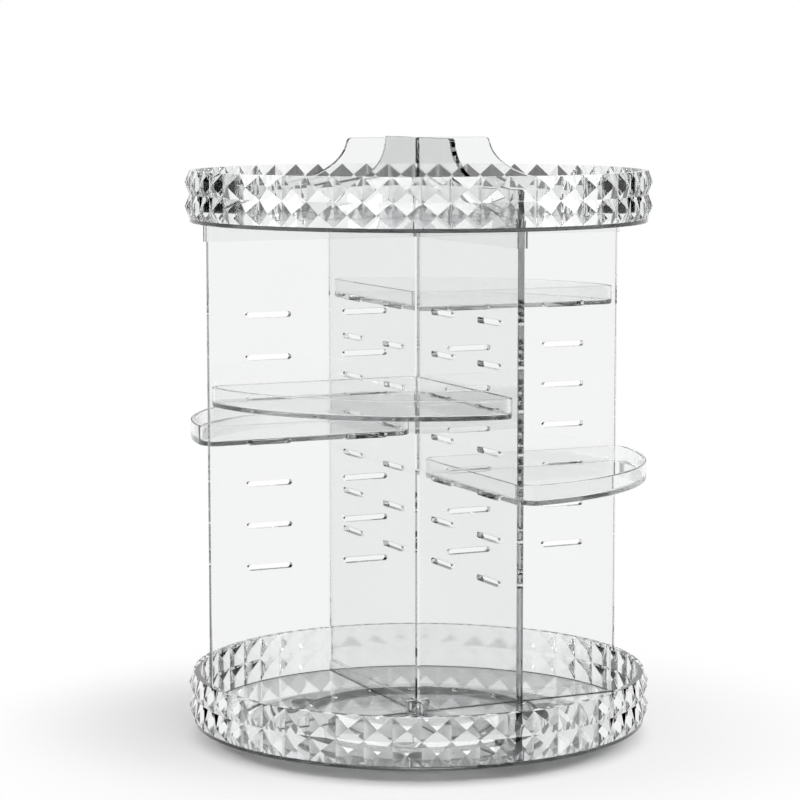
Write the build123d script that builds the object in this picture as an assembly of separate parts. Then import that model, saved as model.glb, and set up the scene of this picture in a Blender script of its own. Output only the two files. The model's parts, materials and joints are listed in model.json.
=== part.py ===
from build123d import *
import os
from math import cos, pi, sin

# A clear rotating organizer: crossed panels between two plates with faceted rims, quarter trays hung in the
# panels' slots, and a ball turntable under the base. Millimetres, Z up from the table, turning axis on Z.

# Faceted rims
rim_radius = 120.0  # to the points of the facets
facet_depth = 2.3
facet_height = 12.2
facet_rows = 2
facet_columns = 52
rim_wall = 3.0  # behind the roots of the facets

# Plates under the rims
base_plate_thickness = 2.0
top_plate_thickness = 2.0
plate_edge_radius = 0.5

# Crossed panels
panel_thickness = 3.5
panel_inset = 3.8  # from the points of the facets to the panel's edge
panel_height = 257.7
panel_edge_radius = 0.5
shoulder_clearance = 0.3
lap_clearance = 0.15

# Slots that carry the trays
slot_length = 24.0
slot_height = 3.0
slot_inner_radius = 30.8
slot_edge_inset = 32.2  # from the panel's edge to the middle of the outer slot
slot_levels = 7
slot_pitch = 21.4
top_slot_drop = 46.9  # from the panel's top to the highest slot's floor

# Sockets that hold the panels and the dividers
socket_wall = 0.8
socket_clearance = 0.15
base_socket_height = 6.0
top_socket_depth = 8.0
divider_socket_height = 4.0

# Quarter trays: slot level and turn about the axis of each
tray_places = {"back_tray": (6, 0), "left_tray": (3, 90), "front_tray": (4, 180), "right_tray": (2, 270)}
tray_inset = 2.0  # from the points of the facets to the tray's edge
tray_height = 10.0
tray_wall = 2.0
tray_floor = 2.0
tray_gap = 0.5  # to the faces of the panels
tray_corner_radius = 8.0
tray_edge_radius = 0.8
tray_inside_radius = 1.0
tray_lip_radius = 0.6
tab_end_clearance = 0.25  # to the middle of the panel
tab_play = 0.5

# Swept dividers of the top tray
divider_thickness = 3.0
divider_peak = 41.0
divider_end_height = 18.0
divider_crown_radius = 40.0
divider_ledge = 29.2  # level run at each end
divider_crown_fillet = 3.0
divider_edge_radius = 0.4
divider_clearance = 0.3

# Foot of the turntable
foot_inset = 32.0  # from the points of the facets to the foot's edge
foot_thickness = 3.0
foot_edge_radius = 1.0
pad_radius = 7.0
pad_height = 2.0
pad_recess = 0.5
pad_fit = 0.1
pad_inset = 12.0  # from the foot's edge to the middle of a pad
pad_count = 6

# Ball bearing
track_radius = 62.0
ball_radius = 2.25
ball_count = 16
ball_clearance = 0.1
groove_depth = 0.5  # of each ball in the foot and in the base plate
cage_thickness = 1.4
cage_width = 9.0

# Pivot
journal_radius = 7.0
journal_clearance = 0.08
hub_wall = 2.0  # round the washer's pocket
hub_gap = 0.5  # from the foot's hub to the base plate
washer_radius = 11.5
washer_thickness = 1.0
washer_clearance = 0.1
washer_pocket_clearance = 1.0
washer_pocket_depth = 2.0
screw_radius = 1.75
screw_clearance = 0.05
screw_head_radius = 3.8
screw_head_height = 1.2
screw_bite = 9.5  # above the journal's end
boss_height = 6.0
boss_clearance = 0.5

# Every cut runs past its face by this much
overrun = 1.0

# Heights above the table
foot_bottom = pad_height - pad_recess
foot_top = foot_bottom + foot_thickness
plate_bottom = foot_top + 2 * (ball_radius - groove_depth)
base_floor = plate_bottom + base_plate_thickness
rim_height = facet_rows * facet_height
base_rim_top = base_floor + rim_height
panel_top = base_floor + panel_height
panel_middle = base_floor + panel_height / 2
top_floor = panel_top + top_plate_thickness
ball_height = (foot_top + plate_bottom) / 2
pocket_top = foot_bottom + washer_pocket_depth
journal_end = pocket_top - washer_clearance
washer_bottom = journal_end - washer_thickness

# Radii from the turning axis
rim_root_radius = rim_radius - facet_depth
facet_flat_radius = rim_root_radius * cos(pi / facet_columns)
rim_inner_radius = facet_flat_radius - rim_wall
panel_radius = rim_radius - panel_inset
panel_foot_radius = min(panel_radius, rim_inner_radius - shoulder_clearance)
slot_outer_radius = panel_radius - slot_edge_inset
tray_radius = rim_radius - tray_inset
divider_radius = rim_inner_radius - divider_clearance
divider_sweep_radius = divider_radius - divider_ledge
foot_radius = rim_radius - foot_inset
pad_circle_radius = foot_radius - pad_inset
washer_pocket_radius = washer_radius + washer_pocket_clearance


def disc(radius, low, high):
    """A round plate about the axis, from one height to another."""
    return Pos(0, 0, low) * extrude(Circle(radius), high - low)


def slab(length, width, low, high):
    """A block centred on the axis, from one height to another."""
    return Pos(0, 0, low) * extrude(Rectangle(length, width), high - low)


def upright(left, right, low, high):
    """A rectangle of an upright outline, by its sides."""
    return Pos((left + right) / 2, (low + high) / 2) * Rectangle(right - left, high - low)


def round_plate(low, high):
    """A round plate under a rim, with its lower edge rounded."""
    plate = disc(rim_root_radius, low, high)
    return fillet(plate.edges().group_by(Axis.Z)[0], plate_edge_radius)


def cross(reach, width, low, high):
    """Two crossed blocks along X and Y."""
    return slab(2 * reach, width, low, high) + slab(width, 2 * reach, low, high)


def cross_socket(thickness, inside_reach, outside_reach, low, high):
    """Pairs of ribs along X and Y, with room for a crossed pair of plates between them."""
    gap = thickness + 2 * socket_clearance
    ribs = cross(outside_reach, gap + 2 * socket_wall, low, high)
    return ribs - cross(inside_reach, gap, low - overrun, high + overrun)


def ball_track():
    """The round groove that the balls run in, as a ring to cut away."""
    section = Pos(track_radius, ball_height) * Circle(ball_radius + ball_clearance)
    return revolve(Plane.XZ * section, Axis.Z)


def faceted_rim():
    """A ring whose outside is set all round with rows of pointed studs."""
    outside = RegularPolygon(rim_root_radius, facet_columns, rotation=180 / facet_columns)
    ring = extrude(outside - Circle(rim_inner_radius), rim_height)
    stud_width = 2 * rim_root_radius * sin(pi / facet_columns)
    root = Plane(origin=(facet_flat_radius, 0, facet_height / 2), x_dir=(0, 1, 0), z_dir=(1, 0, 0))
    point = Vertex(rim_radius, 0, facet_height / 2)
    stud = loft([root * Rectangle(stud_width, facet_height), point]).solid()
    turns = [Rot(0, 0, column * 360 / facet_columns) for column in range(facet_columns)]
    rises = [Pos(0, 0, row * facet_height) for row in range(facet_rows)]
    return ring + [turn * rise * stud for turn in turns for rise in rises]


def base_plate():
    """The turning floor, with sockets for the panels above and the journal of the pivot below."""
    plate = round_plate(plate_bottom, base_floor)
    plate += disc(journal_radius, journal_end, base_floor + boss_height)
    socket_reach = rim_inner_radius - shoulder_clearance
    plate += cross_socket(panel_thickness, socket_reach + overrun, socket_reach,
                          base_floor, base_floor + base_socket_height)
    plate -= ball_track()
    return plate - disc(screw_radius + screw_clearance, journal_end - overrun, journal_end + screw_bite)


def top_plate():
    """The floor of the top tray, with sockets for the panels below and for the dividers above."""
    plate = round_plate(panel_top, top_floor)
    panel_end = panel_radius + socket_clearance
    plate += cross_socket(panel_thickness, panel_end, panel_end + socket_wall,
                          panel_top - top_socket_depth, panel_top)
    return plate + cross_socket(divider_thickness, divider_radius + overrun, divider_radius,
                                top_floor, top_floor + divider_socket_height)


def panel():
    """A whole panel along X: shoulders over the base rim, slots for the trays and rounded ends."""
    shoulder = base_rim_top + shoulder_clearance
    outline = upright(-panel_radius, panel_radius, shoulder, panel_top)
    outline += upright(-panel_foot_radius, panel_foot_radius, base_floor, shoulder)
    notch = journal_radius + boss_clearance
    outline -= upright(-notch, notch, base_floor - overrun, base_floor + boss_height + boss_clearance)
    slot = SlotOverall(slot_length, slot_height)
    for level in range(slot_levels):
        rise = slot_floor(level) + slot_height / 2
        for radius in (slot_inner_radius, slot_outer_radius):
            outline -= [Pos(side * radius, rise) * slot for side in (-1, 1)]
    plate = extrude(Plane.XZ * outline, panel_thickness / 2, both=True)
    ends = plate.edges().filter_by(Axis.Z).group_by(Axis.X)
    return fillet(ends[0] + ends[-1], panel_edge_radius)


def slot_floor(level):
    """Height of the floor of a slot, which a tray's tabs stand on."""
    return panel_top - top_slot_drop - (slot_levels - 1 - level) * slot_pitch


def divider():
    """A whole divider along X: a crown that sweeps down to low ends, with its upper edges rounded."""
    end = top_floor + divider_end_height
    peak = top_floor + divider_peak
    sweep = EllipticalCenterArc((divider_sweep_radius, peak), divider_sweep_radius - divider_crown_radius,
                                divider_peak - divider_end_height, 180, arc_size=90)
    half = Polyline((divider_sweep_radius, end), (divider_radius, end), (divider_radius, top_floor),
                    (0, top_floor), (0, peak), (divider_crown_radius, peak))
    right = make_face(Wire(sweep.edges() + half.edges()))
    crown = right.vertices().group_by(Axis.Y)[-1].sort_by(Axis.X)[-1]
    right = fillet(crown, divider_crown_fillet)
    outline = right + mirror(right, Plane.YZ)
    plate = extrude(Plane.XZ * outline, divider_thickness / 2, both=True)
    sides = plate.edges().filter_by(Axis.Z, reverse=True).group_by(Axis.Y)
    upper = sides[0].sort_by(Axis.Z)[1:] + sides[-1].sort_by(Axis.Z)[1:]
    return fillet(upper, divider_edge_radius)


def crossed_pair(plate, thickness, low, middle, high):
    """A plate and its twin turned to Y, lapped at half height: one is open above, the other below."""
    gap = thickness + 2 * lap_clearance
    along_x = plate - slab(gap, gap, middle - lap_clearance, high + overrun)
    along_y = Rot(0, 0, 90) * plate - slab(gap, gap, low - overrun, middle + lap_clearance)
    return along_x, along_y


def quarter_tray():
    """A shallow tray in the quarter of positive X and Y, with two tabs on each straight side."""
    side = panel_thickness / 2 + tray_gap
    outline = Circle(tray_radius) & (Pos(side, side) * Rectangle(tray_radius, tray_radius, align=Align.MIN))
    outline = fillet(outline.vertices(), tray_corner_radius)
    inside = offset(outline, -tray_wall)
    tray = extrude(outline, tray_height)
    tray = fillet(tray.edges().group_by(Axis.Z)[0], tray_edge_radius)
    hollow = extrude(inside, tray_height)
    tray -= Pos(0, 0, tray_floor) * fillet(hollow.edges().group_by(Axis.Z)[0], tray_inside_radius)
    tray = fillet(tray.edges().group_by(Axis.Z)[-1], tray_lip_radius)
    tab_reach = panel_thickness / 2 - tab_end_clearance
    tab_length = slot_length - slot_height - 2 * (tab_reach + tab_play)
    tab_width = tray_gap + tab_reach + tray_wall
    for radius in (slot_inner_radius, slot_outer_radius):
        place = Pos(radius, side + tray_wall)
        tab = place * extrude(Rectangle(tab_length, tab_width, align=(Align.CENTER, Align.MAX)), tray_floor)
        tray += [tab, mirror(tab, Plane(origin=(0, 0, 0), z_dir=(1, -1, 0)))]
    return tray


def foot_disc():
    """The standing foot: a disc with the hub that the journal turns in, and pockets for pads and washer."""
    foot = disc(foot_radius, foot_bottom, foot_top)
    foot = fillet(foot.edges(), foot_edge_radius)
    foot += disc(washer_pocket_radius + hub_wall, foot_bottom, plate_bottom - hub_gap)
    foot -= disc(journal_radius + journal_clearance, foot_bottom - overrun, plate_bottom)
    foot -= disc(washer_pocket_radius, foot_bottom - overrun, pocket_top)
    foot -= ball_track()
    pocket = disc(pad_radius + pad_fit, foot_bottom - overrun, foot_bottom + pad_recess)
    return foot - [place * pocket for place in PolarLocations(pad_circle_radius, pad_count)]


def ball_cage():
    """A flat ring that spaces the balls."""
    low = ball_height - cage_thickness / 2
    high = ball_height + cage_thickness / 2
    cage = disc(track_radius + cage_width / 2, low, high)
    cage -= disc(track_radius - cage_width / 2, low - overrun, high + overrun)
    hole = disc(ball_radius + ball_clearance, low - overrun, high + overrun)
    return cage - [place * hole for place in PolarLocations(track_radius, ball_count)]


def bearing_balls():
    """The ring of balls, as separate solids."""
    ball = Pos(0, 0, ball_height) * Sphere(ball_radius)
    return Compound(children=[place * ball for place in PolarLocations(track_radius, ball_count)])


def pivot_screw():
    """The screw that holds the washer up against the journal."""
    head = disc(screw_head_radius, washer_bottom - screw_head_height, washer_bottom)
    return head + disc(screw_radius, washer_bottom, journal_end + screw_bite - screw_clearance)


def pivot_washer():
    """The washer that keeps the foot on the journal."""
    hole = disc(screw_radius + screw_clearance, washer_bottom - overrun, journal_end + overrun)
    return disc(washer_radius, washer_bottom, journal_end) - hole


# The pieces, by name
nodes = {}
nodes["foot_disc"] = foot_disc()
pad = disc(pad_radius, 0, pad_height)
for number, place in enumerate(PolarLocations(pad_circle_radius, pad_count), start=1):
    nodes[f"foot_pad_{number}"] = place * pad
nodes["ball_cage"] = ball_cage()
nodes["bearing_balls"] = bearing_balls()
nodes["pivot_screw"] = pivot_screw()
nodes["pivot_washer"] = pivot_washer()
nodes["base_plate"] = base_plate()
rim = faceted_rim()
nodes["base_rim"] = Pos(0, 0, base_floor) * rim
nodes["panel_left_right"], nodes["panel_front_back"] = crossed_pair(
    panel(), panel_thickness, base_floor, panel_middle, panel_top)
nodes["top_plate"] = top_plate()
nodes["top_rim"] = Pos(0, 0, top_floor) * rim
nodes["divider_left_right"], nodes["divider_front_back"] = crossed_pair(
    divider(), divider_thickness, top_floor, top_floor + divider_peak / 2, top_floor + divider_peak)
tray = quarter_tray()
for name, (level, turn) in tray_places.items():
    nodes[name] = Pos(0, 0, slot_floor(level)) * Rot(0, 0, turn) * tray

os.makedirs("parts", exist_ok=True)
for name, solid in nodes.items():
    export_step(solid, f"parts/{name}.step")
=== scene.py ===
# %% [markdown]
# A clear rotating organizer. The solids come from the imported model, at their real size and place, and this
# file gives them their looks. Everything is in metres, Z is up and the turning axis is Z.

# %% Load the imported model
import json
import math

import bpy
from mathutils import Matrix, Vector


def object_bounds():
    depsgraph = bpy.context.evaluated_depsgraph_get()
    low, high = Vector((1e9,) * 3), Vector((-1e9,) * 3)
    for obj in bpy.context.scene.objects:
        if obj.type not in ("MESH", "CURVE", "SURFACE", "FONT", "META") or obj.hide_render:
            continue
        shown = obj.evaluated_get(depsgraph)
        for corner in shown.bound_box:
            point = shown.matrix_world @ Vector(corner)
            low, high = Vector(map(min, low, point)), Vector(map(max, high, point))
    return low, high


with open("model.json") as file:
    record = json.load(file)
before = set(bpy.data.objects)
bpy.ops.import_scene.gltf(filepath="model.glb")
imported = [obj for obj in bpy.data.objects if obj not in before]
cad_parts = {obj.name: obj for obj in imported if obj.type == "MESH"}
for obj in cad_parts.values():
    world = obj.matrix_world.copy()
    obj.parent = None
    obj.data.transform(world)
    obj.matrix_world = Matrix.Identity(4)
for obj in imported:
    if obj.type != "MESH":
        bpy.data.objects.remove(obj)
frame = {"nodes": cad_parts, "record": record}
nodes = frame["nodes"]
solid_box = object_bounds()
print("nodes:", len(nodes), "box:", [[round(x, 4) for x in corner] for corner in solid_box])

# %% [markdown]
# Shader maths reads best as sums. One small class wraps a socket: a sum with it adds a Math node, and its
# node method adds any other kind of node, with the settings first and then the values or links of the
# sockets.


# %% A socket that takes part in sums
class Wire:
    """One shader socket that takes part in Python sums."""

    def __init__(self, tree, output):
        self.tree = tree
        self.output = output

    def node(self, kind, settings, inputs, out=0):
        """Adds a node of any kind and gives one of its outputs as a new wire."""
        made = self.tree.nodes.new(kind)
        for name, value in settings.items():
            setattr(made, name, value)
        for name, value in inputs.items():
            if isinstance(value, Wire):
                self.tree.links.new(value.output, made.inputs[name])
            else:
                made.inputs[name].default_value = value
        return Wire(self.tree, made.outputs[out])

    def maths(self, operation, first, second):
        """Adds a Math node."""
        return self.node("ShaderNodeMath", {"operation": operation}, {0: first, 1: second})

    def __add__(self, other):
        return self.maths("ADD", self, other)

    __radd__ = __add__

    def __sub__(self, other):
        return self.maths("SUBTRACT", self, other)

    def __rsub__(self, other):
        return self.maths("SUBTRACT", other, self)

    def __mul__(self, other):
        return self.maths("MULTIPLY", self, other)

    __rmul__ = __mul__

    def ramp(self, start, stop, first, last):
        """Goes smoothly from one value to another while this wire goes from start to stop."""
        return self.node("ShaderNodeMapRange", {"interpolation_type": "SMOOTHSTEP"}, {
            "Value": self, "From Min": start, "From Max": stop, "To Min": first, "To Max": last})


def begin(owner, kind="ShaderNodeTexCoord", out="Object"):
    """Empties the node tree of a material or world and starts it from one input node."""
    owner.use_nodes = True
    tree = owner.node_tree
    tree.nodes.clear()
    return Wire(tree, tree.nodes.new(kind).outputs[out])


def finish_tree(kind, **shaders):
    """Links finished shaders to the output node of their tree."""
    tree = next(iter(shaders.values())).tree
    last = tree.nodes.new(kind)
    for name, wire in shaders.items():
        tree.links.new(wire.output, last.inputs[name])


print("wire sums ready")

# %% [markdown]
# Every large piece is clear moulded plastic, which bends light a little less than window glass does. It takes
# a little light away over a long way, so an edge that is looked into along the sheet is greyer than the
# sheet's face. A tint alone would grey both alike, so the body of the plastic absorbs too. Moulding leaves
# slow ripples in the faces, and handling leaves hazy patches and hairline scratches, so noise drives the bump
# and the roughness. The scratches are noise that is drawn out along one direction, of which only the highest
# crests are kept.

# %% Clear plastic
plastic_ior = 1.49
body_colour = (0.5, 0.52, 0.52, 1.0)
patch_scale = 18.0
dull_share = 0.97
ripple_scale = 30.0
scratch_turn = (0.5, 0.35, 0.9)
scratch_squeeze = (40.0, 1500.0, 1500.0)
scratch_crest = (0.66, 0.74)


def clear_plastic(name, tint, absorption, haze, scratch, ripple_height):
    """Clear plastic with hazy patches, hairline scratches and slow ripples."""
    material = bpy.data.materials.new(name)
    place = begin(material)
    patches = place.node("ShaderNodeTexNoise", {}, {
        "Vector": place, "Scale": patch_scale, "Detail": 4.0}, "Fac")
    ripples = place.node("ShaderNodeTexNoise", {}, {
        "Vector": place, "Scale": ripple_scale, "Detail": 1.0}, "Fac")
    drawn = place.node("ShaderNodeMapping", {}, {
        "Vector": place, "Rotation": scratch_turn, "Scale": scratch_squeeze})
    hairs = place.node("ShaderNodeTexNoise", {}, {"Vector": drawn, "Scale": 1.0, "Detail": 2.0}, "Fac")
    scratches = hairs.ramp(*scratch_crest, 0.0, scratch)
    bump = place.node("ShaderNodeBump", {}, {"Height": ripples, "Strength": 1.0, "Distance": ripple_height})
    dull = tuple(dull_share * value for value in tint[:3]) + (1.0,)
    colour = place.node("ShaderNodeMix", {"data_type": "RGBA"}, {0: patches, 6: tint, 7: dull}, 2)
    face = place.node("ShaderNodeBsdfPrincipled", {}, {
        "Base Color": colour, "Roughness": haze * patches + scratches, "IOR": plastic_ior,
        "Transmission Weight": 1.0, "Normal": bump})
    body = place.node("ShaderNodeVolumeAbsorption", {}, {"Color": body_colour, "Density": absorption})
    finish_tree("ShaderNodeOutputMaterial", Surface=face, Volume=body)
    return material


moulded_clear = clear_plastic(
    "moulded_clear", tint=(0.985, 0.988, 0.988, 1.0),
    absorption=20.0, haze=0.04, scratch=0.05, ripple_height=0.00002)
sheet_clear = clear_plastic(
    "sheet_clear", tint=(0.925, 0.93, 0.93, 1.0),
    absorption=10.0, haze=0.03, scratch=0.06, ripple_height=0.00001)
facet_clear = clear_plastic(
    "facet_clear", tint=(0.985, 0.987, 0.99, 1.0),
    absorption=10.0, haze=0.015, scratch=0.02, ripple_height=0.000005)
print("clear plastics:", moulded_clear.name, sheet_clear.name, facet_clear.name)

# %% [markdown]
# Under the base sit rubber pads, a plain moulded ball cage, polished balls and a plated screw. None of them
# is clear, so one opaque finish with a fine grain serves them all: the grain changes the colour and the
# roughness a little.

# %% Plain finishes of the turntable
grain_shade = 0.85


def plain_finish(name, colour, metal, smooth, rough, grain_scale):
    """An opaque finish whose colour and roughness vary with a fine grain."""
    material = bpy.data.materials.new(name)
    place = begin(material)
    grain = place.node("ShaderNodeTexNoise", {}, {
        "Vector": place, "Scale": grain_scale, "Detail": 5.0}, "Fac")
    darker = tuple(grain_shade * value for value in colour[:3]) + (1.0,)
    mixed = place.node("ShaderNodeMix", {"data_type": "RGBA"}, {0: grain, 6: colour, 7: darker}, 2)
    roughness = smooth + (rough - smooth) * grain
    face = place.node("ShaderNodeBsdfPrincipled", {}, {
        "Base Color": mixed, "Roughness": roughness, "Metallic": metal})
    finish_tree("ShaderNodeOutputMaterial", Surface=face)
    return material


pad_rubber = plain_finish(
    "pad_rubber", colour=(0.55, 0.56, 0.57, 1.0), metal=0.0, smooth=0.6, rough=0.85, grain_scale=900.0)
cage_plastic = plain_finish(
    "cage_plastic", colour=(0.86, 0.86, 0.85, 1.0), metal=0.0, smooth=0.35, rough=0.5, grain_scale=400.0)
ball_steel = plain_finish(
    "ball_steel", colour=(0.72, 0.73, 0.74, 1.0), metal=1.0, smooth=0.05, rough=0.12, grain_scale=900.0)
fastener_steel = plain_finish(
    "fastener_steel", colour=(0.66, 0.67, 0.68, 1.0), metal=1.0, smooth=0.25, rough=0.4, grain_scale=700.0)
print("plain finishes:", pad_rubber.name, cage_plastic.name, ball_steel.name, fastener_steel.name)

# %% [markdown]
# The record names a material slot for every piece. The shapes of the solids are right as they are, so each
# piece keeps its solid and takes the finish of its slot.

# %% Finishes on the pieces
finishes = {
    "clear_plastic": moulded_clear,
    "crystal_plastic": facet_clear,
    "panel_plastic": sheet_clear,
    "pad_rubber": pad_rubber,
    "cage_plastic": cage_plastic,
    "ball_steel": ball_steel,
    "fastener_steel": fastener_steel,
}
for row in frame["record"]["subparts"]:
    for slot in nodes[row["node"]].material_slots:
        slot.material = finishes[row["material_slot"]]
print("finishes:", sorted(finishes))

# %% [markdown]
# The stage is a wide, pale, matt floor, one flat disc that is large enough to fill the picture from every
# side.

# %% Floor
floor_reach = 6.0
bpy.ops.mesh.primitive_circle_add(vertices=64, radius=floor_reach, fill_type="NGON")
floor = bpy.context.object
floor.name = "floor"
print("floor radius", floor_reach)

# %% [markdown]
# The camera sees the object's own rendered shadow on the matt paper close to it and plain white further off,
# so the matt paper gives way to a plain white. Where the paper gives way slowly it shows darker than the
# white even out of the shadow, so the darkening round the base is partly the rendered shadow and partly
# painted shade. In the photograph the shadow is dark only under the plate's overhang, and a faint one lies on
# the left and behind. That
# faint shadow is painted shade: round a point to the left and behind, less white is let through. Clear
# plastic is a poor caster of light in a path tracer, so what is seen through it finds the floor bright all
# over. The distances here are from the turning axis, or from the middle of the faint shadow.

# %% Floor finish
view_turn = math.radians(-25.0)
full_white = (1.0, 1.0, 1.0, 1.0)
paper_colour = (0.68, 0.68, 0.68, 1.0)
overhang_shadow = (0.102, 0.124)
overhang_share = 0.75
near_shadow = (0.11, 0.26)
faint_shadow = (0.03, 0.17)
faint_shadow_white = 0.5
faint_shadow_left = 0.07
faint_shadow_behind = 0.03
faint_shadow_middle = (
    -faint_shadow_left * math.cos(view_turn) - faint_shadow_behind * math.sin(view_turn),
    -faint_shadow_left * math.sin(view_turn) + faint_shadow_behind * math.cos(view_turn), 0.0)
through_shadow = (0.11, 0.3)
through_shadow_white = 0.97
paper = bpy.data.materials.new("floor_paper")
place = begin(paper)
path = place.tree.nodes.new("ShaderNodeLightPath")
by_camera = Wire(place.tree, path.outputs["Is Camera Ray"])
by_gloss = Wire(place.tree, path.outputs["Is Glossy Ray"])
by_plastic = by_gloss + Wire(place.tree, path.outputs["Is Transmission Ray"])
to_axis = place.node("ShaderNodeVectorMath", {"operation": "LENGTH"}, {0: place}, "Value")
# Painted shadow: round the faint shadow's middle less white is let through, so the matt paper shows darker
# there.
to_faint = place.node("ShaderNodeVectorMath", {"operation": "DISTANCE"}, {
    0: place, 1: faint_shadow_middle}, "Value")
# Partly painted shade: near the axis less white is let through, so the matt paper shows darker, with its
# rendered shadow.
open_floor = to_axis.ramp(*overhang_shadow, 0.0, overhang_share)
open_floor = open_floor + to_axis.ramp(*near_shadow, 0.0, 1.0 - overhang_share)
camera_white = open_floor * to_faint.ramp(*faint_shadow, faint_shadow_white, 1.0)
through_white = to_axis.ramp(*through_shadow, through_shadow_white, 1.0)
white_share = by_camera * camera_white + by_plastic * through_white
matt = place.node("ShaderNodeBsdfDiffuse", {}, {"Color": paper_colour})
bright = place.node("ShaderNodeEmission", {}, {"Color": full_white, "Strength": 1.0})
shade = place.node("ShaderNodeMixShader", {}, {0: white_share, 1: matt, 2: bright})
finish_tree("ShaderNodeOutputMaterial", Surface=shade)
floor.data.materials.append(paper)
print("floor finish:", paper.name)

# %% [markdown]
# Clear plastic shows what stands round it. So the studio has a white wall at the height of the eye, behind
# the object and behind the camera, a dark gap on each side and a dark ceiling: the dark places draw the edges
# and the facets. A direction is told by how far it points ahead of the camera, aside from it and up.

# %% Studio walls
gap_start = math.radians(36.0)
gap_end = math.radians(85.0)
gap_blur = math.radians(6.0)
ceiling_edge = (0.32, 0.5)
ceiling_light = 0.03
world = bpy.data.worlds.new("studio")
bpy.context.scene.world = world
direction = begin(world, out="Generated")
height = direction.node("ShaderNodeSeparateXYZ", {}, {0: direction}, "Z")
ahead = direction.node("ShaderNodeVectorMath", {"operation": "DOT_PRODUCT"}, {
    0: direction, 1: (-math.sin(view_turn), math.cos(view_turn), 0.0)}, "Value")
aside = direction.node("ShaderNodeVectorMath", {"operation": "DOT_PRODUCT"}, {
    0: direction, 1: (math.cos(view_turn), math.sin(view_turn), 0.0)}, "Value")
aside = aside.maths("ABSOLUTE", aside, 0.0)
back_wall = ahead.ramp(math.cos(gap_start + gap_blur), math.cos(gap_start), 0.0, 1.0)
front_wall = ahead.ramp(math.cos(gap_end + gap_blur), math.cos(gap_end), 1.0, 0.0)
print("dark gaps from", round(math.degrees(gap_start)), "to", round(math.degrees(gap_end)), "degrees")

# %% [markdown]
# Two dark cards stand in front of the back wall, just outside the picture, as they do when glass is
# photographed. The facets bend light sideways by about ten degrees, so their side faces look at the cards.
# The camera itself sees white. A narrower pair stands on the left and another on the right, for somebody who
# walks round the object.

# %% Dark cards
card_start = math.radians(7.5)
card_end = math.radians(16.5)
card_blur = math.radians(1.5)
card_light = 0.18
side_card_middles = (100.0, 125.0)
side_card_width = 7.0
inner_side = aside.ramp(math.sin(card_start), math.sin(card_start + card_blur), 1.0, card_light)
outer_side = aside.ramp(math.sin(card_end - card_blur), math.sin(card_end), 0.0, 1.0 - card_light)
back_wall = back_wall * (inner_side + outer_side)
for middle in side_card_middles:
    near = math.radians(middle - side_card_width / 2)
    far = math.radians(middle + side_card_width / 2)
    card = ahead.ramp(math.cos(far), math.cos(far - card_blur), 0.0, 1.0)
    card = card - ahead.ramp(math.cos(near + card_blur), math.cos(near), 0.0, 1.0)
    front_wall = front_wall * (1.0 - (1.0 - card_light) * card)
wall_light = (back_wall + front_wall) * height.ramp(*ceiling_edge, 1.0, ceiling_light)
room = direction.node("ShaderNodeBackground", {}, {"Color": full_white, "Strength": wall_light})
backdrop = direction.node("ShaderNodeBackground", {}, {"Color": full_white, "Strength": 1.0})
path = direction.tree.nodes.new("ShaderNodeLightPath")
by_camera = Wire(direction.tree, path.outputs["Is Camera Ray"])
seen = direction.node("ShaderNodeMixShader", {}, {0: by_camera, 1: room, 2: backdrop})
finish_tree("ShaderNodeOutputWorld", Surface=seen)
print("back cards:", round(math.degrees(card_start), 1), "to", round(math.degrees(card_end), 1), "degrees")
print("side cards:", side_card_middles, "degrees")

# %% [markdown]
# A facet that faces up is white where it mirrors a lamp. The facets of the base mirror a lower place than
# those of the top tray, so the lamp that they mirror in front is tall enough for both. That much lamp would
# make a matt surface too bright and wash out the back, so it shows only where it is mirrored, and a smaller
# one in its place gives the light. A strip on each side serves the facets there, and a wide lamp overhead
# fills the shadows.

# %% Lamps
lamp_target = Vector((0.0, 0.0, solid_box[1][2] / 2))


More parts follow.
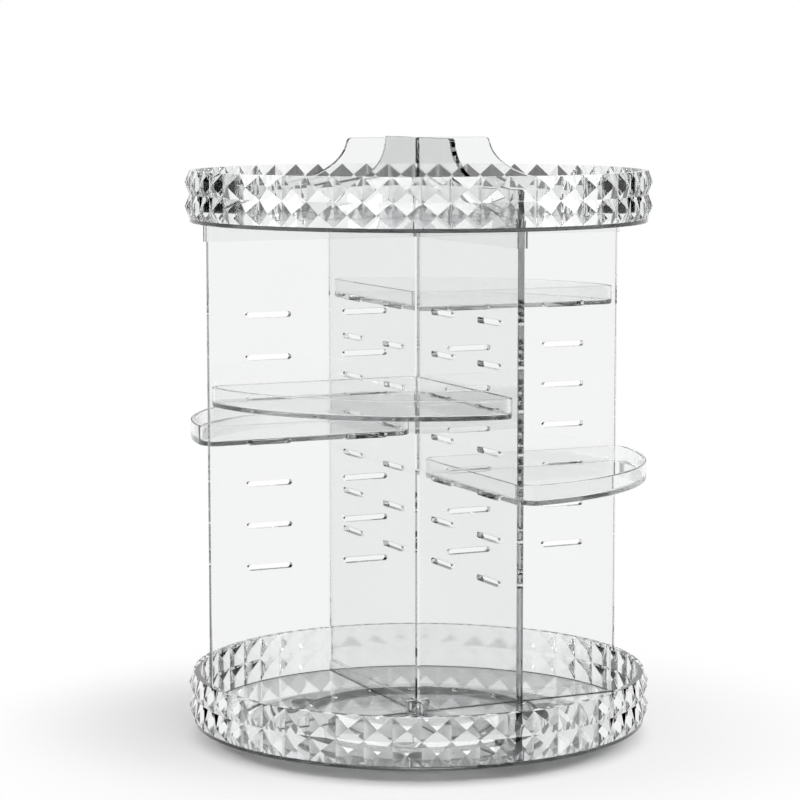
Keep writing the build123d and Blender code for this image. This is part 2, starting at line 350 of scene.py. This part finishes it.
def softbox(name, turn, distance, rise, width, depth, power, lights=True, mirrored=True):
    """A rectangular soft lamp that points at the object, placed by its turn from the camera in degrees."""
    angle = view_turn + math.radians(turn)
    lamp = bpy.data.lights.new(name, "AREA")
    lamp.shape = "RECTANGLE"
    lamp.size = width
    lamp.size_y = depth
    lamp.energy = power
    holder = bpy.data.objects.new(name, lamp)
    holder.location = (math.sin(angle) * distance, -math.cos(angle) * distance, rise)
    aim = lamp_target - holder.location
    holder.rotation_euler = aim.to_track_quat("-Z", "Y").to_euler()
    holder.visible_diffuse = lights
    holder.visible_transmission = lights
    holder.visible_glossy = mirrored
    bpy.context.scene.collection.objects.link(holder)


softbox("front_strip", turn=0.0, distance=1.6, rise=1.15, width=2.4, depth=0.5, power=24.0, mirrored=False)
softbox(
    "front_mirror_strip", turn=0.0, distance=1.6, rise=1.12, width=2.6, depth=1.1, power=64.0, lights=False)
softbox("left_strip", turn=-85.0, distance=1.6, rise=1.05, width=1.2, depth=0.5, power=12.0)
softbox("right_strip", turn=85.0, distance=1.6, rise=1.05, width=1.2, depth=0.5, power=12.0)
softbox("top_softbox", turn=180.0, distance=0.3, rise=1.9, width=1.2, depth=1.2, power=8.0)

# %% [markdown]
# The camera was fitted to the two rims in the photograph: its distance, height and dip make both ellipses
# match. The picture is not centred on the turning axis, so the lens is shifted a little.

# %% Camera
camera_distance = 1.4003
camera_height = 0.3366
camera_dip = 0.115
camera_data = bpy.data.cameras.new("camera")
camera_data.sensor_width = 36.0
camera_data.lens = 122.24
camera_data.shift_x = -0.02345
camera_data.clip_end = 50.0
camera = bpy.data.objects.new("camera", camera_data)
camera.location = (
    math.sin(view_turn) * camera_distance, -math.cos(view_turn) * camera_distance, camera_height)
camera.rotation_euler = (math.pi / 2 - camera_dip, 0.0, view_turn)
bpy.context.scene.collection.objects.link(camera)
bpy.context.scene.camera = camera
bpy.context.scene.view_settings.view_transform = "Standard"
print("camera at", [round(x, 3) for x in camera.location])

# %% [markdown]
# Light that enters a sheet's edge is mirrored many times inside it before it leaves, and a path that is cut
# short comes out black. So the renderer is allowed long paths.

# %% Long light paths
longest_path = 64
cycles = bpy.context.scene.cycles
cycles.max_bounces = longest_path
cycles.glossy_bounces = longest_path
cycles.transmission_bounces = longest_path
print("light paths of up to", longest_path, "bounces")
